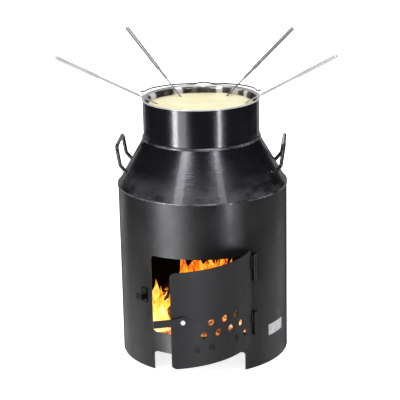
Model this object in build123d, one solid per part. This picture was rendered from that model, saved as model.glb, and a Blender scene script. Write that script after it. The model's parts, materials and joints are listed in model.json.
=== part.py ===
from build123d import *
import math
import os

# Outdoor fondue stove shaped like a milk can: a steel drum with a fire door, a cone and a neck
# that carries a fondue pot, with four long forks standing in the pot.
# Units are mm. Z is up and is the axis of the can, the floor is z = 0, the front (door side) is -Y.
# An azimuth is an angle around Z in degrees, 0 at the front and growing toward +X.

# ---------- stove body ----------
drum_radius = 132.0
sheet = 2.0
drum_top = 272.0
neck_radius = 90.1
cone_top = 345.0
neck_top = 404.6
rim_chamfer = 1.5
drum_bead = 1.4
neck_bead = 2.4
bead_sides = 8
floor_level = 46.0
corner_radius = 6.0
notch_from, notch_to = -36.8, 27.3
notch_top = 30.6
opening_from, opening_to = -37.5, 31.5
opening_bottom, opening_top = 62.0, 186.0
label_from, label_to = 48.0, 65.0
label_bottom, label_top = 44.5, 62.5
label_thickness = 0.3

# ---------- door, hinges and latch ----------
door_from, door_to = -40.2, 30.6
door_bottom, door_top = 49.0, 198.0
door_corner = 6.0
door_gap = 1.5
door_open_angle = 45.0
hole_radius = 5.5
hole_pitch = 10.44
hole_centre = -3.9
hole_rows = {76.3: 5, 96.0: 4, 114.4: 3}

hinge_azimuth = 32.95
hinge_distance = 138.0
barrel_radius = 4.4
pin_radius = 2.0
running_gap = 0.05
barrel_gap = 0.4
cap_height = 1.2
pad_width = 5.0
pad_depth = 3.0
leaf_thickness = 2.0
leaf_overlap = 3.0
leaf_margin = 1.0
leaf_corner = 1.5
# name: foot of the lower barrel, where the two barrels meet, top of the upper barrel
hinges = {"lower": (59.0, 79.0, 97.0), "upper": (147.0, 166.0, 190.0)}

latch_azimuth = -33.6
latch_level = 123.0
latch_reach = 43.0
latch_eye_radius = 7.8
latch_waist = 14.0
latch_tip_width = 10.6
latch_thickness = 2.5
latch_gap = 0.4
rivet_radius = 2.5
rivet_head_radius = 3.4
rivet_head_height = 2.0
rivet_tail_depth = 1.6

catch_azimuth = -44.2
catch_width = 12.0
catch_foot, catch_head = 108.0, 130.0
catch_seat = 117.0
catch_lip_top = 123.5
catch_thickness = 2.2
catch_room = 2.2

# ---------- side handles ----------
handle_turn = -4.2
handle_half_width = 39.0
handle_rod_radius = 2.9
handle_bend = 8.0
handle_top = 337.5
handle_distance = 128.3
handle_foot_level = 293.5
handle_foot_reach, handle_foot_rise = 12.0, 13.5
handle_foot_depth = 1.5

# ---------- pot and bail ----------
pot_outer_radius = 84.8
pot_wall_thickness = 1.2
pot_bottom = 290.0
pot_corner = 14.0
lip_radius = 90.7
lip_level = 405.7
lip_bead = 0.9
flare_start = 400.9
flare_bend = 3.0
pot_turn = -3.0
ear_width = 6.6
ear_inner, ear_outer = 88.6, 90.1
ear_drop = 16.0
pivot_level = 415.8

bail_wire_radius = 1.2
bail_clearance = 0.08
bail_half_width = 85.6
bail_reach = 91.2
bail_end = 93.6
bail_bend = 2.2
bail_hook_out = 12.0
bail_hook_half = 9.5
bail_steps = 9

# ---------- forks ----------
fork_length = 265.0
handle_tube_length = 88.0
fork_handle_radius = 2.9
fork_handle_rounding = 1.2
fork_shaft_radius = 2.1
fork_wire_radius = 1.2
shaft_end = 7.0
tine_radius = 0.8
tine_spread = 2.8
tine_length = 26.0
tine_root = 8.0
tine_taper = 4.0
tine_tip_radius = 0.25
# name: azimuth of the point over the rim, height there, heading, slope, length outside the rim
forks = {
    "fork_back_left": (-146.4, 415.0, -127.8, 43.0, 115.6),
    "fork_back_right": (133.8, 417.0, 94.0, 44.8, 115.0),
    "fork_front_left": (-86.5, 409.6, -45.0, 27.7, 186.4),
    "fork_front_right": (80.3, 409.6, 40.0, 27.2, 185.3),
}

up = Vector(0, 0, 1)
os.makedirs("parts", exist_ok=True)


# ---------- helpers ----------
def outward(azimuth):
    angle = math.radians(azimuth)
    return Vector(math.sin(angle), -math.cos(angle), 0)


def sideways(azimuth):
    return outward(azimuth + 90)


def point(azimuth, distance, level):
    return outward(azimuth) * distance + up * level


def facing(azimuth, distance, level):
    """Plane whose normal points out of the can, with its x axis level and its y axis up."""
    return Plane(origin=point(azimuth, distance, level), x_dir=sideways(azimuth), z_dir=outward(azimuth))


def rod(start, end, radius):
    axis = end - start
    return extrude(Plane(origin=start, z_dir=axis) * Circle(radius), axis.length)


def spoke(azimuth, inner, outer, level, radius):
    """Rod that points straight out of the can."""
    return rod(point(azimuth, inner, level), point(azimuth, outer, level), radius)


def tube(outer, inner, bottom, top, centre=Vector(0, 0, 0)):
    ring = Circle(outer) - Circle(inner)
    return extrude(Plane(origin=centre + up * bottom) * ring, top - bottom)


def turned(outline):
    """Solid of revolution about Z of a face drawn in (radius, level)."""
    return revolve(Plane.XZ * outline, Axis.Z)


def polygon(*corners):
    return make_face(Polyline(*corners, close=True))


def window(azimuth_from, azimuth_to, radius, bottom, top, corner):
    """Straight-sided cutter as wide as the two azimuths at the given radius, pointing out."""
    middle = (azimuth_from + azimuth_to) / 2
    width = 2 * radius * math.sin(math.radians((azimuth_to - azimuth_from) / 2))
    outline = facing(middle, 0, (bottom + top) / 2) * RectangleRounded(width, top - bottom, corner)
    return extrude(outline, 2 * radius)


def save(shape, name):
    shape.label = name
    export_step(shape, f"parts/{name}.step")


# ---------- stove body ----------
can_filled = turned(polygon((0, 0), (drum_radius, 0), (drum_radius, drum_top), (neck_radius, cone_top),
                            (neck_radius, neck_top), (0, neck_top)))

# The drum is rolled in two half shells, butt-welded on the left and on the right.
drum = tube(drum_radius, drum_radius - sheet, 0, drum_top)
front_half = Box(4 * drum_radius, 2 * drum_radius, 3 * drum_top,
                 align=(Align.CENTER, Align.MAX, Align.CENTER))
save(drum - front_half, "drum_back")
drum_front = drum & front_half
drum_front -= window(opening_from, opening_to, drum_radius, opening_bottom, opening_top, corner_radius)
drum_front -= window(notch_from, notch_to, drum_radius, -notch_top, notch_top, corner_radius)
save(drum_front, "drum_front")

cone = turned(polygon((drum_radius, drum_top), (neck_radius, cone_top), (neck_radius - sheet, cone_top),
                      (drum_radius - sheet, drum_top)))
save(cone, "shoulder_cone")

neck = turned(polygon((neck_radius - sheet, cone_top), (neck_radius, cone_top), (neck_radius, neck_top),
                      (neck_radius - sheet, neck_top - rim_chamfer)))
save(neck, "neck")

for name, radius, level, bead in (("drum_seam", drum_radius, drum_top, drum_bead),
                                  ("neck_seam", neck_radius, cone_top, neck_bead)):
    section = Pos(radius, level) * RegularPolygon(bead, bead_sides, rotation=180 / bead_sides)
    save(turned(section) - can_filled, name)

fire_floor = extrude(Plane.XY.offset(floor_level) * Circle(drum_radius - sheet), sheet)
save(fire_floor, "fire_floor")

label_plate = tube(drum_radius + label_thickness, drum_radius, label_bottom, label_top)
label_plate &= window(label_from, label_to, drum_radius, label_bottom, label_top, sheet)
save(label_plate, "label_plate")

# ---------- drum side of the hinges: a barrel on a weld pad, with the pin standing up out of it ----------
hinge_axis = point(hinge_azimuth, hinge_distance, 0)
for side, (low, middle, high) in hinges.items():
    barrel = tube(barrel_radius, pin_radius, low, middle, hinge_axis)
    pad_plane = facing(hinge_azimuth, drum_radius - pad_depth, (low + middle) / 2)
    pad = extrude(pad_plane * Rectangle(pad_width, middle - low), hinge_distance - drum_radius + sheet)
    barrel += pad - rod(hinge_axis, hinge_axis + up * high, barrel_radius - 0.5)
    save(barrel - can_filled, f"hinge_{side}_drum_half")
    pin = rod(hinge_axis + up * low, hinge_axis + up * (high - cap_height - barrel_gap), pin_radius)
    save(pin, f"hinge_{side}_pin")

# ---------- side handles ----------
cone_slope = (drum_radius - neck_radius) / (cone_top - drum_top)


def handle(azimuth):
    """Bow of round bar whose two feet are cut to the cone they are welded to."""
    cone_radius = drum_radius - (handle_foot_level - drum_top) * cone_slope
    foot_distance = math.sqrt(cone_radius ** 2 - handle_half_width ** 2) - handle_foot_depth
    leg = [(foot_distance, handle_foot_level),
           (foot_distance + handle_foot_reach, handle_foot_level + handle_foot_rise),
           (handle_distance, handle_top)]
    corners = [point(azimuth, distance, level) + sideways(azimuth) * handle_half_width
               for distance, level in leg]
    corners += [point(azimuth, distance, level) - sideways(azimuth) * handle_half_width
                for distance, level in reversed(leg)]
    path = FilletPolyline(*corners, radius=handle_bend)
    bar = sweep(Plane(origin=path @ 0, z_dir=path % 0) * Circle(handle_rod_radius), path=path)
    return bar - can_filled


for name, azimuth in (("handle_left", -90 + handle_turn), ("handle_right", 90 + handle_turn)):
    save(handle(azimuth), name)


# ---------- door, built closed and then swung open ----------
def swing(shape):
    """Turn a piece of the closed door about the hinge pins to where the door stands open."""
    return shape.rotate(Axis(hinge_axis, up), door_open_angle)


door_inner = drum_radius + door_gap
door_outer = door_inner + sheet
through = (drum_radius - 4 * sheet, drum_radius + 4 * sheet)
panel = tube(door_outer, door_inner, door_bottom, door_top)
panel &= window(door_from, door_to, door_outer, door_bottom, door_top, door_corner)
for level, count in hole_rows.items():
    for i in range(count):
        panel -= spoke(hole_centre + (i - (count - 1) / 2) * hole_pitch, *through, level, hole_radius)
panel -= spoke(latch_azimuth, *through, latch_level, rivet_radius)
save(swing(panel), "door_panel")

for side, (low, middle, high) in hinges.items():
    bottom = middle + barrel_gap
    cap_foot = high - cap_height
    barrel = tube(barrel_radius, pin_radius + running_gap, bottom, cap_foot, hinge_axis)
    barrel += rod(hinge_axis + up * cap_foot, hinge_axis + up * high, barrel_radius)
    leaf = tube(door_outer + leaf_thickness, door_outer, bottom + leaf_margin, high - leaf_margin)
    leaf &= window(door_to - leaf_overlap, hinge_azimuth - 0.6, door_outer, bottom + leaf_margin,
                   high - leaf_margin, leaf_corner)
    leaf -= rod(hinge_axis, hinge_axis + up * high, barrel_radius - 0.4)
    save(swing(barrel + leaf), f"hinge_{side}_door_half")

# ---------- latch: a flat strap with a round eye on a rivet, and the hook it drops into ----------
latch_face = door_outer + latch_gap
head_face = latch_face + latch_thickness + 0.3
tail_face = door_inner - rivet_tail_depth
rivet = spoke(latch_azimuth, tail_face, head_face, latch_level, rivet_radius)
rivet += spoke(latch_azimuth, head_face, head_face + rivet_head_height, latch_level, rivet_head_radius)
tail = spoke(latch_azimuth, tail_face, door_inner + 0.5, latch_level, rivet_head_radius)
rivet += tail & Cylinder(door_inner, 2 * neck_top)
save(swing(rivet), "latch_rivet")

strap = Circle(latch_eye_radius)
strap += polygon((0, latch_eye_radius), (-latch_waist, latch_tip_width / 2),
                 (-latch_reach, latch_tip_width / 2), (-latch_reach, -latch_tip_width / 2),
                 (-latch_waist, -latch_tip_width / 2), (0, -latch_eye_radius))
strap -= Circle(rivet_radius + running_gap)
save(swing(extrude(facing(latch_azimuth, latch_face, latch_level) * strap, latch_thickness)), "latch_strap")

# The hook stands on a plate beside the door: a seat with an upturned outer lip.
strap_distance = latch_face / math.cos(math.radians(catch_azimuth - latch_azimuth))
lip_inner = strap_distance + latch_thickness + catch_room
lip_outer = lip_inner + sheet
plate_face = drum_radius + sheet
catch_side = polygon((0, catch_foot), (plate_face, catch_foot), (plate_face, catch_seat - catch_thickness),
                     (lip_outer, catch_seat - catch_thickness), (lip_outer, catch_lip_top),
                     (lip_inner, catch_lip_top), (lip_inner, catch_seat), (plate_face, catch_seat),
                     (plate_face, catch_head), (0, catch_head))
catch_plane = Plane(origin=(0, 0, 0), x_dir=outward(catch_azimuth), z_dir=-sideways(catch_azimuth))
save(extrude(catch_plane * catch_side, catch_width / 2, both=True) - can_filled, "latch_catch")

# ---------- pot: a round base, a rounded foot, a straight wall and a flared lip ----------
base_radius = pot_outer_radius - pot_corner - sheet
pot_outline = FilletPolyline((base_radius, pot_bottom), (pot_outer_radius, pot_bottom),
                             (pot_outer_radius, flare_start), (lip_radius, lip_level),
                             radius=[pot_corner, flare_bend])
pot_section = make_face(offset(pot_outline, pot_wall_thickness, side=Side.LEFT))
pot_section += Pos(lip_radius, lip_level) * Circle(lip_bead)
pot_shell = turned(pot_section)
pot_foot_top = pot_bottom + pot_corner
pot_wall_top = flare_start - flare_bend
for name, bottom, top in (("pot_foot", pot_bottom, pot_foot_top), ("pot_wall", pot_foot_top, pot_wall_top),
                          ("pot_lip", pot_wall_top, pivot_level)):
    level_band = extrude(Plane.XY.offset(bottom) * Circle(drum_radius), top - bottom)
    save(pot_shell & level_band, name)
pot_base = extrude(Plane.XY.offset(pot_bottom) * Circle(base_radius), pot_wall_thickness)
save(pot_base, "pot_base")

for name, azimuth in (("pot_ear_left", -90 + pot_turn), ("pot_ear_right", 90 + pot_turn)):
    outline = Circle(ear_width / 2) + Pos(0, -ear_drop / 2) * Rectangle(ear_width, ear_drop)
    outline -= Circle(bail_wire_radius + running_gap)
    ear = extrude(facing(azimuth, ear_inner, pivot_level) * outline, ear_outer - ear_inner) - pot_shell
    save(ear.solids().sort_by(Axis.Z)[-1], name)

# ---------- bail: one wire bow with a hook at its middle, lying back on the pot's rim ----------
bow_points = [(bail_half_width, bail_bend)]
for step in range(1, bail_steps):
    angle = math.radians(90 * step / bail_steps)
    bow_points.append((bail_half_width * math.cos(angle), bail_reach * math.sin(angle)))
bow_points[-1] = (bail_hook_half + 4, bail_reach * 0.985)
bow_points.append((bail_hook_half / 2, bail_reach + bail_hook_out * 0.62))
hook_tip = (0, bail_reach + bail_hook_out)
mirrored = [(-x, y) for x, y in reversed(bow_points)]
with BuildLine() as bail_line:
    Line((bail_end, 0), (bail_half_width + bail_bend, 0))
    RadiusArc((bail_half_width + bail_bend, 0), (bail_half_width, bail_bend), bail_bend)
    Spline(*bow_points, hook_tip, *mirrored, tangents=((0, 1), (0, -1)))
    RadiusArc((-bail_half_width, bail_bend), (-bail_half_width - bail_bend, 0), bail_bend)
    Line((-bail_half_width - bail_bend, 0), (-bail_end, 0))
bail_section = Plane(origin=(bail_end, 0, 0), z_dir=(-1, 0, 0)) * Circle(bail_wire_radius)
bail = sweep(bail_section, path=bail_line.wire())
bail_drop = pivot_level - (lip_level + lip_bead + bail_wire_radius + bail_clearance)
bail = bail.rotate(Axis.X, -math.degrees(math.atan2(bail_drop, lip_radius)))
save(bail.rotate(Axis.Z, pot_turn).translate(up * pivot_level), "bail_wire")

# ---------- forks ----------
for name, (azimuth, level, heading, slope, reach) in forks.items():
    rim_point = point(azimuth, lip_radius, level)
    angle = math.radians(slope)
    axis = outward(heading) * math.cos(angle) + up * math.sin(angle)
    top = rim_point + axis * reach
    tube_end = top - axis * handle_tube_length
    handle_tube = rod(tube_end, top, fork_handle_radius)
    save(fillet(handle_tube.edges(), fork_handle_rounding), f"{name}_handle")

    tip = top - axis * fork_length
    step_point = rim_point + axis * shaft_end
    shoulder = tip + axis * (tine_length + tine_root)
    shaft = rod(step_point, tube_end, fork_shaft_radius) + rod(shoulder, step_point, fork_wire_radius)
    save(shaft, f"{name}_shaft")

    tangent = sideways(azimuth)
    spread = (tangent - axis * axis.dot(tangent)).normalized()
    tines = Part()
    for i in (-1, 0, 1):
        offset_to_tine = spread * (i * tine_spread)
        root = tip + axis * tine_length + offset_to_tine
        taper_start = tip + axis * tine_taper + offset_to_tine
        taper = Plane(origin=taper_start, z_dir=-axis)
        tines += rod(taper_start, root, tine_radius)
        tines += loft([taper * Circle(tine_radius), taper.offset(tine_taper) * Circle(tine_tip_radius)])
        tines += rod(root, shoulder, tine_radius)
    save(tines - shaft, f"{name}_tines")
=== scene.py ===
"""Looks for the outdoor fondue stove: enamelled can, fire door, steel pot with cheese, forks and fire.

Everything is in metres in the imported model's own frame: Z is the can's axis, the floor is z = 0, the
fire door is on the -Y side. An azimuth is an angle round Z, 0 at the front and growing toward +X.
"""

import json
import math
import random

import bpy
from mathutils import Matrix, Vector, noise


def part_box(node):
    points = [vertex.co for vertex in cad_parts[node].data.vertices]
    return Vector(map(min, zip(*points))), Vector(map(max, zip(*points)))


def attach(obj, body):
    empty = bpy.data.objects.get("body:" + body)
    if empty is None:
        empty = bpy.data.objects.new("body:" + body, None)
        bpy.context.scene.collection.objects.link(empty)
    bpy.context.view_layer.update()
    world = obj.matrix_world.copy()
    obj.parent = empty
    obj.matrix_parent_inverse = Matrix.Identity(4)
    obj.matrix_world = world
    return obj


# ---------- the frame, and sizes read from it ----------
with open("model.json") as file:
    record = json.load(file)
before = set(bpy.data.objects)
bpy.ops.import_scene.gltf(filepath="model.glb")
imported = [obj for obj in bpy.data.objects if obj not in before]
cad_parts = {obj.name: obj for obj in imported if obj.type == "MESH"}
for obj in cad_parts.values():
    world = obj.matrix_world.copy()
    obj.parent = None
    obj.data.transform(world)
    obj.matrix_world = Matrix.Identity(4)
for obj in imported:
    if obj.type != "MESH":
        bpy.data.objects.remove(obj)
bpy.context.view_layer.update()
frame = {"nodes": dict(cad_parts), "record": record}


def node_box(name):
    low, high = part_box(name)
    return Vector(low), Vector(high)


floor_low, floor_high = node_box("fire_floor")
floor_top = floor_high.z
firebox_radius = (floor_high.x - floor_low.x) / 2
cone_low, cone_high = node_box("shoulder_cone")
cone_radius_low = cone_high.x

# sizes of the can and its pot that no node's box gives
cone_radius_high = 0.0901
pot_inner = 0.0836
cheese_level = 0.393
rim_start = 0.4034
handle_azimuths = {"left": -94.2, "right": 85.8}
handle_half_width = 0.039
handle_foot_level = 0.2965


def radial(azimuth, distance, level=0.0):
    angle = math.radians(azimuth)
    return Vector((distance * math.sin(angle), -distance * math.cos(angle), level))


# ---------- shader helpers ----------
class Shader:
    """A node material that is built one call at a time."""

    def __init__(self, name):
        self.material = bpy.data.materials.new(name)
        self.material.use_nodes = True
        self.nodes = self.material.node_tree.nodes
        self.links = self.material.node_tree.links
        self.surface = self.nodes["Principled BSDF"]
        self.output = self.nodes["Material Output"]
        self.place = self.nodes.new("ShaderNodeTexCoord").outputs["Object"]

    def set(self, **values):
        for name, value in values.items():
            self.surface.inputs[name.replace("_", " ")].default_value = value

    def feed(self, source, socket):
        self.links.new(source, self.surface.inputs[socket])

    def node(self, kind, inputs=None, **settings):
        made = self.nodes.new(kind)
        for name, value in settings.items():
            setattr(made, name, value)
        for name, value in (inputs or {}).items():
            if isinstance(value, bpy.types.NodeSocket):
                self.links.new(value, made.inputs[name])
            else:
                made.inputs[name].default_value = value
        return made

    def height(self):
        return self.node("ShaderNodeSeparateXYZ", {"Vector": self.place}).outputs["Z"]

    def stretched(self, scale):
        return self.node("ShaderNodeMapping", {"Vector": self.place, "Scale": scale}).outputs["Vector"]

    def noise(self, scale, detail=4.0, roughness=0.55, vector=None):
        source = vector if vector is not None else self.place
        inputs = {"Vector": source, "Scale": scale, "Detail": detail, "Roughness": roughness}
        return self.node("ShaderNodeTexNoise", inputs).outputs["Fac"]

    def ramp(self, factor, low, high, start, end):
        """Spread a factor that runs from low to high over start to end."""
        inputs = {"Value": factor, "From Min": low, "From Max": high, "To Min": start, "To Max": end}
        return self.node("ShaderNodeMapRange", inputs).outputs["Result"]

    def colours(self, factor, stops):
        made = self.node("ShaderNodeValToRGB", {"Fac": factor})
        band = made.color_ramp
        while len(band.elements) < len(stops):
            band.elements.new(0.5)
        for element, (position, colour) in zip(band.elements, stops):
            element.position = position
            element.color = (*colour, 1.0)
        return made.outputs["Color"]

    def mix(self, factor, first, second):
        made = self.node("ShaderNodeMix", data_type="RGBA")
        for socket, value in ((0, factor), (6, first), (7, second)):
            if isinstance(value, bpy.types.NodeSocket):
                self.links.new(value, made.inputs[socket])
            else:
                made.inputs[socket].default_value = value if socket == 0 else (*value, 1.0)
        return made.outputs[2]

    def maths(self, operation, first, second):
        made = self.node("ShaderNodeMath", operation=operation)
        for i, value in enumerate((first, second)):
            if isinstance(value, bpy.types.NodeSocket):
                self.links.new(value, made.inputs[i])
            else:
                made.inputs[i].default_value = value
        return made.outputs[0]

    def bump(self, height, distance, strength=1.0, normal=None):
        inputs = {"Height": height, "Distance": distance, "Strength": strength}
        if normal is not None:
            inputs["Normal"] = normal
        return self.node("ShaderNodeBump", inputs).outputs["Normal"]


# ---------- materials ----------
def stove_paint(name, dark, light, smooth, rough, dust_cover, foot_paling=0.0):
    """Heat-resistant black paint: fine grain, smudges, rubbed patches and a few specks of dust.

    The last argument sets how much paler the paint is made towards the foot of the drum.
    """
    m = Shader(name)
    grain = m.noise(900.0, 3.0)
    smudge = m.noise(9.0, 6.0, 0.62)
    rubbed = m.noise(34.0, 5.0, 0.65, m.stretched((1.0, 1.0, 0.45)))
    dust = m.noise(170.0, 5.0, 0.7)
    painted = m.colours(smudge, ((0.25, dark), (0.75, light)))
    # paler grey towards the foot of the drum, by the amount of the last argument
    paler_at_foot = m.mix(m.ramp(m.height(), 0.19, 0.02, 0.0, foot_paling), painted, (0.075, 0.075, 0.075))
    dusty = m.ramp(smudge, 0.45, 0.6, 0.0, 1.0)
    specks = m.maths("MULTIPLY", m.ramp(dust, 0.69, 0.73, 0.0, dust_cover), dusty)
    m.feed(m.mix(specks, paler_at_foot, (0.22, 0.21, 0.20)), "Base Color")
    polish = m.ramp(rubbed, 0.48, 0.72, 0.0, -0.11)
    m.feed(m.maths("ADD", m.ramp(smudge, 0.3, 0.75, smooth, rough), polish), "Roughness")
    waves = m.bump(smudge, 0.0012, 0.25)
    m.feed(m.bump(grain, 0.00006, 0.5, waves), "Normal")
    m.set(Metallic=0.0, IOR=1.5)
    return m.material


def gloss_black():
    """Enamel over rolled sheet: deep black, faintly ribbed round the can, scuffed low on the cone."""
    m = Shader("gloss_black")
    ribs = m.noise(24.0, 3.0, 0.6, m.stretched((2.2, 2.2, 16.0)))
    height = m.height()
    low_on_cone = m.ramp(height, cone_low.z + 0.034, cone_low.z + 0.006, 0.0, 1.0)
    dulled = m.ramp(height, cone_high.z, cone_low.z, 0.0, 0.20)
    smears = m.noise(17.0, 5.0, 0.6, m.stretched((1.0, 1.0, 1.8)))
    haze = m.maths("MULTIPLY", low_on_cone, m.ramp(smears, 0.42, 0.60, 0.0, 0.58))
    peel = m.noise(420.0, 2.0)
    wide = m.noise(11.0, 4.0)
    dust = m.noise(210.0, 5.0, 0.7)
    base = m.colours(wide, ((0.3, (0.0050, 0.0050, 0.0070)), (0.7, (0.0080, 0.0080, 0.0110))))
    specks = m.maths("MULTIPLY", m.ramp(dust, 0.71, 0.76, 0.0, 0.30), m.ramp(wide, 0.42, 0.6, 0.0, 1.0))
    hazed = m.mix(haze, base, (0.085, 0.085, 0.092))
    m.feed(m.mix(specks, hazed, (0.20, 0.19, 0.18)), "Base Color")
    m.feed(m.maths("ADD", m.ramp(wide, 0.3, 0.7, 0.15, 0.22), dulled), "Roughness")
    waves = m.bump(ribs, 0.0010, 0.45)
    m.feed(m.bump(peel, 0.00005, 0.5, waves), "Normal")
    m.set(Metallic=0.0, IOR=1.5, Coat_Weight=0.3, Coat_Roughness=0.08)
    return m.material


def steel(name, colour, scale, roughness, streaks=600.0, metallic=1.0):
    """Stainless steel, brushed along the direction in which scale is small."""
    m = Shader(name)
    brushed = m.noise(streaks, 3.0, 0.6, m.stretched(scale))
    cloud = m.noise(18.0, 4.0)
    darker = tuple(c * 0.78 for c in colour)
    m.feed(m.mix(m.ramp(cloud, 0.35, 0.7, 0.0, 1.0), colour, darker), "Base Color")
    m.feed(m.ramp(brushed, 0.3, 0.7, roughness * 0.7, roughness * 1.4), "Roughness")
    m.feed(m.bump(brushed, 0.00002, 0.35), "Normal")
    m.set(Metallic=metallic)
    return m.material


def pot_steel_painted_reflections():
    """Pot steel: dark and bright bars up and down its wall, painted reflections put into the colour, and a
    plain bright rim.
    """
    m = Shader("pot_steel")
    painted_reflection_bars = m.noise(52.0, 1.0, 0.4, m.stretched((1.0, 1.0, 0.03)))
    brushed = m.noise(220.0, 3.0, 0.6, m.stretched((1.0, 1.0, 9.0)))
    # painted reflection: the dark and bright bars of the wall are base colour, not reflections of the lamps
    painted_reflection_colours = m.colours(painted_reflection_bars, ((0.44, (0.045, 0.040, 0.038)), (0.53, (0.20, 0.18, 0.17)),
                              (0.58, (0.93, 0.92, 0.91))))
    rim = m.ramp(m.height(), rim_start, rim_start + 0.0012, 0.0, 1.0)
    m.feed(m.mix(rim, painted_reflection_colours, (0.58, 0.58, 0.59)), "Base Color")
    m.feed(m.ramp(brushed, 0.3, 0.7, 0.14, 0.24), "Roughness")
    m.feed(m.bump(brushed, 0.00002, 0.35), "Normal")
    m.set(Metallic=0.35)
    return m.material


def bead_painted_highlight():
    """The rolled weld beads: black enamel with noise patches of bright grey steel, a painted highlight in
    place of the light line along the seams.
    """
    m = Shader("bead_painted_highlight")
    patches = m.noise(30.0, 4.0, 0.6)
    fine = m.noise(260.0, 3.0)
    # painted highlight: the bright grey patches stand in for the light line on the seams
    painted_highlight_patches = m.ramp(patches, 0.40, 0.66, 0.0, 1.0)
    m.feed(m.mix(painted_highlight_patches, (0.020, 0.020, 0.024), (0.30, 0.30, 0.32)), "Base Color")
    m.feed(m.ramp(patches, 0.40, 0.66, 0.1, 0.8), "Metallic")
    m.feed(m.ramp(fine, 0.3, 0.7, 0.20, 0.34), "Roughness")
    m.feed(m.bump(fine, 0.00008, 0.5), "Normal")
    return m.material


def label_silver():
    """A blank, slightly creased silver label."""
    m = Shader("label_silver")
    creases = m.noise(120.0, 5.0, 0.6)
    m.feed(m.colours(creases, ((0.3, (0.36, 0.36, 0.37)), (0.7, (0.52, 0.52, 0.54)))), "Base Color")
    m.feed(m.ramp(creases, 0.3, 0.7, 0.30, 0.45), "Roughness")
    m.feed(m.bump(creases, 0.0002, 0.4), "Normal")
    m.set(Metallic=0.2)
    return m.material


def cheese():
    """Melted cheese: warm, soft, with a few paler swirls and tiny bubbles."""
    m = Shader("cheese")
    swirl = m.noise(26.0, 5.0, 0.55)
    bubbles = m.noise(320.0, 2.0)
    m.feed(m.colours(swirl, ((0.30, (0.80, 0.73, 0.44)), (0.70, (0.86, 0.82, 0.58)))), "Base Color")
    m.feed(m.ramp(swirl, 0.3, 0.7, 0.42, 0.55), "Roughness")
    waves = m.bump(swirl, 0.0007, 0.6)
    m.feed(m.bump(bubbles, 0.00012, 0.4, waves), "Normal")
    m.set(Subsurface_Weight=0.2, Subsurface_Scale=0.004, IOR=1.45)
    m.surface.inputs["Subsurface Radius"].default_value = (1.0, 0.7, 0.35)
    return m.material


def flame():
    """Fire: white-yellow low in the body, orange then dark red at the tips, with ragged streaks."""
    m = Shader("flame")
    streak = m.noise(95.0, 4.0, 0.6, m.stretched((1.0, 1.0, 0.30)))
    patch = m.noise(30.0, 2.0, 0.5, m.stretched((1.0, 1.0, 0.6)))
    level = m.ramp(m.height(), floor_top + 0.005, floor_top + 0.105, 0.0, 0.72)
    ragged = m.maths("ADD", m.ramp(streak, 0.25, 0.75, -0.26, 0.42), m.ramp(patch, 0.3, 0.7, -0.12, 0.24))
    heat = m.maths("ADD", level, ragged)
    colour = m.colours(heat, ((0.00, (1.0, 0.90, 0.62)), (0.24, (1.0, 0.72, 0.16)),
                              (0.50, (1.0, 0.47, 0.03)), (0.72, (0.90, 0.20, 0.01)),
                              (0.90, (0.22, 0.02, 0.004))))
    m.feed(colour, "Base Color")
    m.feed(colour, "Emission Color")
    m.feed(m.ramp(heat, 0.0, 1.0, 1.25, 0.75), "Emission Strength")
    m.set(Roughness=0.9)
    return m.material


def charred_wood():
    """Black split wood with brown bark and glowing cracks."""
    m = Shader("charred_wood")
    bark = m.noise(90.0, 6.0, 0.65, m.stretched((0.25, 1.0, 1.0)))
    cracks = m.ramp(m.noise(150.0, 3.0, 0.6, m.stretched((0.4, 1.0, 1.0))), 0.56, 0.64, 0.0, 1.0)
    patch = m.ramp(m.noise(22.0, 3.0), 0.40, 0.60, 0.0, 1.0)
    glow = m.maths("MULTIPLY", cracks, patch)
    m.feed(m.colours(bark, ((0.3, (0.012, 0.010, 0.009)), (0.7, (0.14, 0.07, 0.035)))), "Base Color")
    m.feed(m.mix(glow, (0.0, 0.0, 0.0), (1.0, 0.30, 0.03)), "Emission Color")
    m.feed(m.bump(bark, 0.0025, 0.8), "Normal")
    m.set(Roughness=0.85, Emission_Strength=1.6)
    return m.material


def embers():
    """Glowing lumps under grey ash."""
    m = Shader("embers")
    lumps = m.noise(120.0, 4.0, 0.6)
    ash = m.noise(60.0, 5.0, 0.6)
    m.feed(m.colours(ash, ((0.35, (0.03, 0.026, 0.024)), (0.7, (0.34, 0.30, 0.27)))), "Base Color")
    patch = m.ramp(m.noise(16.0, 2.0), 0.3, 0.6, 0.35, 1.0)
    glow = m.maths("MULTIPLY", m.ramp(lumps, 0.40, 0.60, 0.05, 1.0), patch)
    hot = m.colours(glow, ((0.0, (0.06, 0.006, 0.001)), (0.5, (1.0, 0.26, 0.03)), (1.0, (1.0, 0.80, 0.45))))
    m.feed(hot, "Emission Color")
    m.feed(m.bump(lumps, 0.004, 0.8), "Normal")
    m.set(Roughness=0.95, Emission_Strength=1.1)
    return m.material


def sooty_floor():
    """The firebox floor under its soot."""
    m = Shader("sooty_floor")
    soot = m.noise(26.0, 6.0, 0.6)
    m.feed(m.colours(soot, ((0.3, (0.010, 0.010, 0.010)), (0.7, (0.055, 0.048, 0.042)))), "Base Color")
    m.feed(m.bump(soot, 0.0006, 0.6), "Normal")
    m.set(Roughness=0.88)
    return m.material


def soot_painted_shade_coat():
    """A dead black coat with next to no shine: soot, made this black as painted shade so the fire's light
    does not show on the firebox wall.
    """
    m = Shader("soot")
    flakes = m.noise(55.0, 6.0, 0.65)
    # painted shade: near-black colour with almost no shine, so the wall stays black beside the fire
    shades = m.colours(flakes, ((0.3, (0.0015, 0.0014, 0.0013)), (0.7, (0.0045, 0.0040, 0.0038))))
    m.feed(shades, "Base Color")
    m.feed(m.ramp(flakes, 0.3, 0.7, 0.92, 1.0), "Roughness")
    m.feed(m.bump(flakes, 0.0008, 0.6), "Normal")
    m.set(Specular_IOR_Level=0.05)
    return m.material


# ---------- finishes of the CAD nodes ----------
def give(obj, material):
    obj.data.materials.clear()
    obj.data.materials.append(material)


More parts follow.
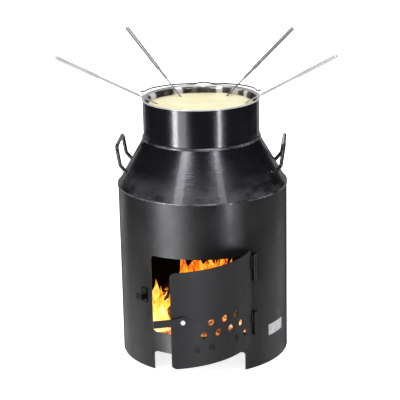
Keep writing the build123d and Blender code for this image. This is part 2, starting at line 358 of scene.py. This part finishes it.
def dress_nodes():
    """Each node gets its record slot's finish, and a few get one of their own."""
    finishes = {
        "matte_black_paint": stove_paint("drum_paint", (0.0085, 0.0085, 0.0095), (0.016, 0.016, 0.0165),
                                         0.29, 0.48, 0.9, foot_paling=0.16),
        "gloss_black_paint": enamel,
        "stainless_pot": pot_steel_painted_reflections(),
        "stainless_fork": steel("fork_steel", (0.72, 0.72, 0.73), (1.0, 1.0, 0.25), 0.30, metallic=0.35),
        "zinc_plated_steel": steel("zinc", (0.88, 0.89, 0.90), (1.0, 1.0, 1.0), 0.45, metallic=0.35),
        "label_silver": label_silver(),
    }
    nodes = frame["nodes"]
    for row in frame["record"]["subparts"]:
        give(nodes[row["node"]], finishes[row["material_slot"]])

    door_paint = stove_paint("door_paint", (0.014, 0.014, 0.015), (0.018, 0.018, 0.019), 0.52, 0.60, 0.2)
    iron_paint = stove_paint("iron_paint", (0.004, 0.004, 0.0045), (0.007, 0.007, 0.0075), 0.30, 0.38, 0.3)
    # painted shade: the back forks are the same steel as the front forks, given a darker colour for the
    # shade they stand in
    painted_shade_fork_steel = steel("painted_shade_fork_finish", (0.27, 0.27, 0.28), (1.0, 1.0, 0.25), 0.34, metallic=0.6)
    bead = bead_painted_highlight()
    give(nodes["fire_floor"], sooty_floor())
    give(nodes["bail_wire"], steel("wire_steel", (0.16, 0.15, 0.15), (1.0, 1.0, 1.0), 0.22, metallic=0.8))
    # the seam beads get the black finish with painted-highlight patches
    for name in ("drum_seam", "neck_seam"):
        give(nodes[name], bead)
    for name in ("door_panel", "latch_strap"):
        give(nodes[name], door_paint)
    for name in nodes:
        # the back forks take the darker painted-shade copy of the fork steel
        if name.startswith("fork_back"):
            give(nodes[name], painted_shade_fork_steel)
        if name.endswith("_half") or name == "latch_catch":
            give(nodes[name], iron_paint)


enamel = gloss_black()
dress_nodes()


# ---------- new pieces ----------
def add_piece(name, mesh, material, body, smooth=True):
    obj = bpy.data.objects.new(name, mesh)
    bpy.context.scene.collection.objects.link(obj)
    obj.data.materials.append(material)
    for face in obj.data.polygons:
        face.use_smooth = smooth
    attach(obj, body)
    return obj


def mesh_from(name, vertices, faces):
    mesh = bpy.data.meshes.new(name)
    mesh.from_pydata([tuple(v) for v in vertices], [], faces)
    mesh.update()
    return mesh


def disc_faces(rings, around):
    """Faces of a round sheet: vertex 0 in the middle, then rings of vertices outwards."""
    faces = [(0, 1 + step, 1 + (step + 1) % around) for step in range(around)]
    for ring in range(1, rings):
        inner = 1 + (ring - 1) * around
        outer = inner + around
        for step in range(around):
            following = (step + 1) % around
            faces.append((inner + step, outer + step, outer + following, inner + following))
    return faces


def tube_faces(first, rows, around):
    """Faces of a closed tube whose rings of vertices start at number first, with both ends capped."""
    faces = []
    for row in range(rows):
        lower = first + row * around
        upper = lower + around
        for step in range(around):
            following = (step + 1) % around
            faces.append((lower + step, lower + following, upper + following, upper + step))
    last = first + rows * around
    faces.append(tuple(reversed(range(first, first + around))))
    faces.append(tuple(range(last, last + around)))
    return faces


def build_cheese():
    """A closed slab with a softly waved surface that creeps a little up the pot's wall."""
    rings = 26
    around = 120
    depth = 0.02
    vertices = [Vector((0, 0, cheese_level))]
    for ring in range(1, rings + 1):
        share = ring / rings
        radius = (pot_inner - 0.0003) * share
        for step in range(around):
            angle = 2 * math.pi * step / around
            x = radius * math.cos(angle)
            y = radius * math.sin(angle)
            wave = 0.0011 * noise.noise(Vector((x * 42, y * 42, 3.0)))
            wave += 0.0004 * noise.noise(Vector((x * 130, y * 130, 8.0)))
            rise = 0.0016 * max(0.0, (share - 0.93) / 0.07) ** 2
            vertices.append(Vector((x, y, cheese_level + wave + rise)))
    faces = disc_faces(rings, around)
    skirt = len(vertices)
    rim = 1 + (rings - 1) * around
    for edge in vertices[rim:skirt]:
        vertices.append(Vector((edge.x, edge.y, cheese_level - depth)))
    for step in range(around):
        following = (step + 1) % around
        faces.append((rim + step, skirt + step, skirt + following, rim + following))
    faces.append(tuple(reversed(range(skirt, skirt + around))))
    melted = add_piece("cheese", mesh_from("cheese", vertices, faces), cheese(), "pot")
    melted.visible_glossy = False


def build_ember_bed():
    """A low lumpy mound of embers on the fire floor."""
    rings = 18
    around = 72
    vertices = [Vector((0, 0, floor_top + 0.020))]
    for ring in range(1, rings + 1):
        share = ring / rings
        radius = firebox_radius * 0.90 * share
        for step in range(around):
            angle = 2 * math.pi * step / around
            x = radius * math.cos(angle)
            y = radius * math.sin(angle)
            lump = 0.007 * noise.noise(Vector((x * 55, y * 55, 1.0)))
            lump += 0.003 * noise.noise(Vector((x * 160, y * 160, 5.0)))
            height = 0.019 * (1 - share ** 3) + lump * (1 - share ** 6)
            vertices.append(Vector((x, y, floor_top + max(0.0004, height))))
    faces = disc_faces(rings, around)
    rim = 1 + (rings - 1) * around
    faces.append(tuple(reversed(range(rim, rim + around))))
    add_piece("ember_bed", mesh_from("ember_bed", vertices, faces), embers(), "stove")


def build_log(name, start, end, radius, seed, material):
    """A split log: one side flattened, rough bark, tapering a little to each end."""
    along = 22
    around = 20
    axis = (end - start).normalized()
    side = axis.cross(Vector((0, 0, 1))).normalized()
    up = side.cross(axis)
    vertices = []
    for i in range(along + 1):
        share = i / along
        centre = start.lerp(end, share)
        for j in range(around):
            angle = 2 * math.pi * j / around
            split = 1.0 - 0.28 * max(0.0, math.cos(angle - seed)) ** 2
            x = math.cos(angle)
            y = math.sin(angle)
            rough = 0.16 * noise.noise(Vector((share * 5, x * 2, y * 2 + seed)))
            rough += 0.07 * noise.noise(Vector((share * 21, x * 6, y * 6 + seed)))
            reach = radius * (split + rough) * (1 - 0.10 * abs(2 * share - 1) ** 4)
            vertices.append(centre + side * (reach * x) + up * (reach * y))
    add_piece(name, mesh_from(name, vertices, tube_faces(0, along, around)), material, "stove")


def flame_tongue(vertices, faces, base, height, width, lean, seed):
    """One tapering, twisting tongue of fire, added to the lists."""
    rows = 22
    around = 12
    first = len(vertices)
    for i in range(rows + 1):
        share = i / rows
        body = math.sin(math.pi * min(1.0, share * 0.86 + 0.18)) ** 0.8 * (1 - share ** 3)
        sway = 0.35 * width * noise.noise(Vector((seed, share * 2.6, 0.0))) * share
        swing = 0.30 * width * noise.noise(Vector((seed + 9, share * 5.0, 2.0))) * share
        bend = lean * share ** 1.5
        centre = base + Vector((bend.x + sway * 2, bend.y + swing * 2, height * share))
        for j in range(around):
            angle = 2 * math.pi * j / around
            flutter = 1 + 0.3 * noise.noise(Vector((seed + share * 6, math.cos(angle), math.sin(angle))))
            reach = width * 0.5 * body * flutter
            vertices.append(centre + Vector((reach * math.cos(angle), 0.45 * reach * math.sin(angle), 0)))
    faces.extend(tube_faces(first, rows, around))


def build_flames():
    """Three groups of tongues: low on the left, tall and dense in the middle, few on the right."""
    dice = random.Random(11)
    groups = (
        (17, (-0.088, -0.028), (-0.085, -0.010), (0.040, 0.068)),
        (64, (-0.037, 0.040), (-0.045, 0.040), (0.074, 0.098)),
        (12, (0.030, 0.085), (-0.040, 0.050), (0.045, 0.074)),
    )
    vertices = []
    faces = []
    for count, across, along, heights in groups:
        for i in range(count):
            base = Vector((dice.uniform(*across), dice.uniform(*along), floor_top + 0.004))
            lean = Vector((dice.uniform(-0.009, 0.012), dice.uniform(-0.006, 0.006), 0))
            width = dice.uniform(0.016, 0.030)
            seed = i * 3.7 + across[0] * 90
            flame_tongue(vertices, faces, base, dice.uniform(*heights), width, lean, seed)
    add_piece("flames", mesh_from("flames", vertices, faces), flame(), "stove")


def build_fire():
    """Embers, four crossed logs and the flames over them."""
    wood = charred_wood()
    build_ember_bed()
    level = floor_top + 0.030
    logs = (
        ((-0.085, -0.030, level), (0.070, 0.020, level + 0.004), 0.017),
        ((-0.060, 0.055, level), (0.085, -0.020, level + 0.010), 0.015),
        ((-0.050, -0.070, level + 0.002), (0.010, 0.080, level + 0.022), 0.015),
        ((0.055, -0.075, level + 0.004), (-0.015, 0.060, level + 0.030), 0.013),
    )
    for i, (start, end, radius) in enumerate(logs):
        build_log(f"log_{i + 1}", Vector(start), Vector(end), radius, 1.3 * i, wood)
    build_flames()


def weld_ring(name, centre, axis, radius, thickness, seed):
    """A lumpy fillet weld round a rod of the given radius."""
    around = 30
    section = 10
    side = axis.orthogonal().normalized()
    other = axis.cross(side)
    vertices = []
    faces = []
    for i in range(around):
        angle = 2 * math.pi * i / around
        outwards = side * math.cos(angle) + other * math.sin(angle)
        lump = 1 + 0.35 * noise.noise(Vector((math.cos(angle) * 2.4, math.sin(angle) * 2.4, seed)))
        for j in range(section):
            turn = 2 * math.pi * j / section
            reach = radius + thickness * lump * math.cos(turn)
            vertices.append(centre + outwards * reach + axis * (thickness * lump * math.sin(turn)))
    for i in range(around):
        for j in range(section):
            a = i * section
            b = (i + 1) % around * section
            following = (j + 1) % section
            faces.append((a + j, b + j, b + following, a + following))
    mesh = mesh_from(name, vertices, faces)
    mesh.flip_normals()
    weld = add_piece(name, mesh, enamel, "stove")


def build_handle_welds():
    """Welds where the four feet of the side handles meet the cone."""
    rod_radius = 0.0030
    bead_radius = 0.0017
    slope = (cone_radius_low - cone_radius_high) / (cone_high.z - cone_low.z)
    reach = cone_radius_low - (handle_foot_level - cone_low.z) * slope
    foot_distance = math.sqrt(reach ** 2 - handle_half_width ** 2)
    for side, azimuth in handle_azimuths.items():
        outwards = radial(azimuth, 1.0)
        axis = (outwards * 0.012 + Vector((0, 0, 0.0135))).normalized()
        for end in (-1, 1):
            across = radial(azimuth + 90, 1.0) * (end * handle_half_width)
            centre = outwards * foot_distance + across + Vector((0, 0, handle_foot_level))
            weld_ring(f"handle_weld_{side}_{end + 2}", centre, axis, rod_radius, bead_radius, azimuth + end)


def build_soot_painted_shade_coat():
    """A thin coat of dead black soot on the back and sides of the firebox, also painted shade that keeps
    the inside black against the fire's light.
    """
    around = 90
    outer = firebox_radius - 0.0002
    inner = outer - 0.0004
    bottom = floor_top + 0.0003
    top = cone_low.z - 0.001
    vertices = []
    faces = []
    for i in range(around + 1):
        azimuth = 52 + (360 - 104) * i / around
        for distance, level in ((outer, bottom), (outer, top), (inner, top), (inner, bottom)):
            vertices.append(radial(azimuth, distance, level))
    for i in range(around):
        for j in range(4):
            following = (j + 1) % 4
            faces.append((4 * i + j, 4 * i + following, 4 * i + 4 + following, 4 * i + 4 + j))
    faces.append((0, 3, 2, 1))
    last = 4 * around
    faces.append((last, last + 1, last + 2, last + 3))
    add_piece("soot", mesh_from("soot", vertices, faces), soot_painted_shade_coat(), "stove", smooth=False)


build_cheese()
build_fire()
build_soot_painted_shade_coat()
build_handle_welds()


# ---------- camera ----------
def build_camera():
    """Straight in front, looking 17 degrees down, with the slight roll of a hand-set studio shot."""
    pitch = math.radians(17.05)
    yaw = math.radians(-0.12)
    roll = math.radians(-1.18)
    ahead = Vector((math.sin(yaw) * math.cos(pitch), math.cos(yaw) * math.cos(pitch), -math.sin(pitch)))
    level_right = Vector((math.cos(yaw), -math.sin(yaw), 0))
    level_up = level_right.cross(ahead)
    right = level_right * math.cos(roll) + level_up * math.sin(roll)
    up = level_up * math.cos(roll) - level_right * math.sin(roll)
    camera = bpy.data.objects.new("camera", bpy.data.cameras.new("camera"))
    bpy.context.scene.collection.objects.link(camera)
    camera.data.lens = 126.7
    camera.data.clip_start = 0.05
    camera.data.clip_end = 50
    eye = Vector((0, -2.1206, 0.8903))
    camera.matrix_world = Matrix.Translation(eye) @ Matrix((right, up, -ahead)).transposed().to_4x4()
    bpy.context.scene.camera = camera


build_camera()


# ---------- studio ----------
def add_panel(name, azimuth, distance, heights, width, radiance, tint=(1, 1, 1), diffuse=False):
    """A soft upright light facing the can's axis; most of them only show in the gloss."""
    low, high = heights
    light = bpy.data.lights.new(name, "AREA")
    light.shape = "RECTANGLE"
    light.size = width
    light.size_y = high - low
    light.energy = radiance * math.pi * width * (high - low)
    light.color = tint
    obj = bpy.data.objects.new(name, light)
    bpy.context.scene.collection.objects.link(obj)
    obj.location = radial(azimuth, distance, (low + high) / 2)
    obj.rotation_euler = radial(azimuth, -1.0).to_track_quat("-Z", "Y").to_euler()
    obj.visible_diffuse = diffuse


def build_studio():
    """An even white surround, panels for the highlights, a large light overhead and the fire's own glow."""
    world = bpy.data.worlds.new("studio")
    bpy.context.scene.world = world
    world.use_nodes = True
    background = world.node_tree.nodes["Background"]
    background.inputs["Color"].default_value = (1, 1, 1, 1)
    background.inputs["Strength"].default_value = 1.0
    world.cycles_visibility.glossy = False
    cool = (0.92, 0.93, 1.0)
    neck_heights = (-0.15, 0.35)
    drum_heights = (-1.0, -0.17)
    edge_heights = (-1.1, -0.17)
    cone_heights = (1.15, 1.75)
    cone_top_heights = (1.75, 2.40)
    # what the upright neck mirrors
    add_panel("neck_left", -51.0, 1.5, neck_heights, 0.25, 24.5, cool)
    add_panel("neck_panel", -36.0, 1.7, neck_heights, 0.40, 4.6, cool)
    add_panel("neck_right", 34.5, 1.5, neck_heights, 0.16, 21.0, cool)
    # what the upright drum mirrors, further down
    add_panel("drum_left", -48.0, 1.5, drum_heights, 0.24, 11.0)
    add_panel("drum_panel", -33.0, 1.7, drum_heights, 0.50, 5.2)
    add_panel("drum_right", 35.5, 1.5, (-0.6, -0.17), 0.22, 5.0)
    add_panel("side_left", -105.0, 1.6, (-1.1, -0.42), 1.0, 1.0)
    add_panel("side_right", 105.0, 1.6, (-1.1, -0.30), 1.2, 0.55)
    # what the sloping cone mirrors, from above
    add_panel("cone_left", -37.0, 1.5, cone_heights, 0.36, 11.5, cool)
    add_panel("cone_right", 30.0, 1.5, cone_heights, 0.26, 7.5, cool)
    add_panel("cone_left_top", -31.0, 1.5, cone_top_heights, 0.28, 34.0, cool)
    add_panel("cone_right_top", 30.0, 1.5, cone_top_heights, 0.20, 32.0, cool)
    # thin edges of light round the outline
    add_panel("back_left", -140.0, 1.8, edge_heights, 0.8, 0.75)
    add_panel("back_right", 132.0, 1.8, edge_heights, 0.8, 0.45)
    add_panel("neck_edge_left", -150.0, 1.8, neck_heights, 0.5, 0.5)
    add_panel("neck_edge_right", 150.0, 1.8, neck_heights, 0.5, 0.5)
    add_panel("rim_light", 180.0, 2.5, (-1.5, 1.0), 1.1, 1.4, diffuse=True)
    overhead = bpy.data.lights.new("overhead", "AREA")
    overhead.size = 1.6
    overhead.energy = 14.0
    above = bpy.data.objects.new("overhead", overhead)
    above.location = (0, 0.1, 2.0)
    bpy.context.scene.collection.objects.link(above)
    glow = bpy.data.lights.new("fire_glow", "POINT")
    glow.energy = 0.05
    glow.color = (1.0, 0.42, 0.10)
    glow.shadow_soft_size = 0.03
    fire = bpy.data.objects.new("fire_glow", glow)
    fire.location = (0, -0.02, floor_top + 0.10)
    bpy.context.scene.collection.objects.link(fire)


def build_floor():
    """A plain pale floor, bright enough to hold no shadow and left out of reflections."""
    material = Shader("studio_floor")
    material.set(Base_Color=(0.93, 0.93, 0.93, 1.0), Roughness=0.9, Emission_Color=(1, 1, 1, 1),
                 Emission_Strength=0.8, Specular_IOR_Level=0.1)
    corners = ((-9, -9, -0.0005), (9, -9, -0.0005), (9, 9, -0.0005), (-9, 9, -0.0005))
    mesh = mesh_from("studio_floor", corners, [(0, 1, 2, 3)])
    mesh.materials.append(material.material)
    ground = bpy.data.objects.new("studio_floor", mesh)
    bpy.context.scene.collection.objects.link(ground)
    ground.visible_glossy = False
    ground.visible_shadow = False


build_studio()
build_floor()
bpy.context.scene.view_settings.view_transform = "Standard"
